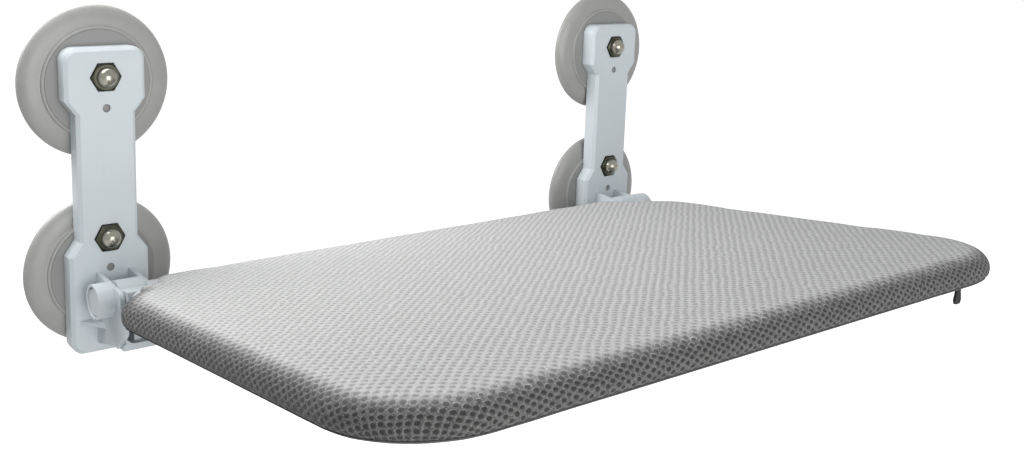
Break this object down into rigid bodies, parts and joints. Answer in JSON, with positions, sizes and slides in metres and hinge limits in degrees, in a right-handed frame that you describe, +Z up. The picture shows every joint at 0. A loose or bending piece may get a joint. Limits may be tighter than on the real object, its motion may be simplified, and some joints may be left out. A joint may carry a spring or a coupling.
{
  "type": "window mounted cat perch",
  "caption": "Padded mesh perch on a tube frame that folds up on two moulded brackets held to a window by suction cups, with a zip under the mat.",
  "frame": {"origin": "on the window glass, midway between the two brackets and midway between the upper and the lower suction cups", "axes": "+X along the window to the right seen from the room, +Y into the glass away from the room, +Z up"},
  "size_m": [0.523, 0.3678, 0.2155],
  "materials": {
    "grey_plastic": "satin",
    "cup_rubber": "semi-gloss",
    "cup_plate_plastic": "matte",
    "plated_steel": "polished",
    "frame_tube": "satin",
    "arm_plastic": "satin",
    "webbing": "matte",
    "foam": "matte",
    "mesh_fabric": "matte",
    "base_fabric": "matte",
    "zip_tape": "matte",
    "zip_plastic": "satin",
    "zip_metal": "satin"
  },
  "bodies": {
    "window_mounts": {"left_bracket": "grey_plastic", "right_bracket": "grey_plastic", "upper_left_cup": "cup_rubber", "lower_left_cup": "cup_rubber", "upper_right_cup": "cup_rubber", "lower_right_cup": "cup_rubber", "upper_left_cup_plate": "cup_plate_plastic", "lower_left_cup_plate": "cup_plate_plastic", "upper_right_cup_plate": "cup_plate_plastic", "lower_right_cup_plate": "cup_plate_plastic", "cup_studs": "plated_steel", "nut_washers": "plated_steel", "cap_nuts": "plated_steel"},
    "perch": {"back_tube": "frame_tube", "left_front_tube": "frame_tube", "right_front_tube": "frame_tube", "tube_joiner": "frame_tube", "joiner_rivets": "plated_steel", "left_hinge_arm": "arm_plastic", "right_hinge_arm": "arm_plastic", "arm_screws": "plated_steel", "tube_plugs": "arm_plastic", "support_straps": "webbing", "foam_pad": "foam", "edge_roll": "foam", "mesh_cover": "mesh_fabric", "base_panel": "base_fabric", "zip_tapes": "zip_tape", "zip_teeth": "zip_plastic", "zip_stops": "zip_plastic"},
    "zip_slider": {"zip_slider": "zip_metal"},
    "zip_pull": {"zip_pull": "zip_metal"}
  },
  "joints": [
    {"name": "perch_fold", "type": "hinge", "parent": "window_mounts", "child": "perch", "pos_m": [0, -0.0435, -0.067], "axis": [-1, 0, 0], "range_deg": [0, 83.5]},
    {"name": "zip_slide", "type": "slide", "parent": "perch", "child": "zip_slider", "axis": [0, 0.9942, -0.108], "range_m": [0, 0.202]},
    {"name": "zip_pull_swing", "type": "hinge", "parent": "zip_slider", "child": "zip_pull", "pos_m": [0.204, -0.34122, -0.04949], "axis": [1, 0, 0], "range_deg": [-84, 84]}
  ]
}
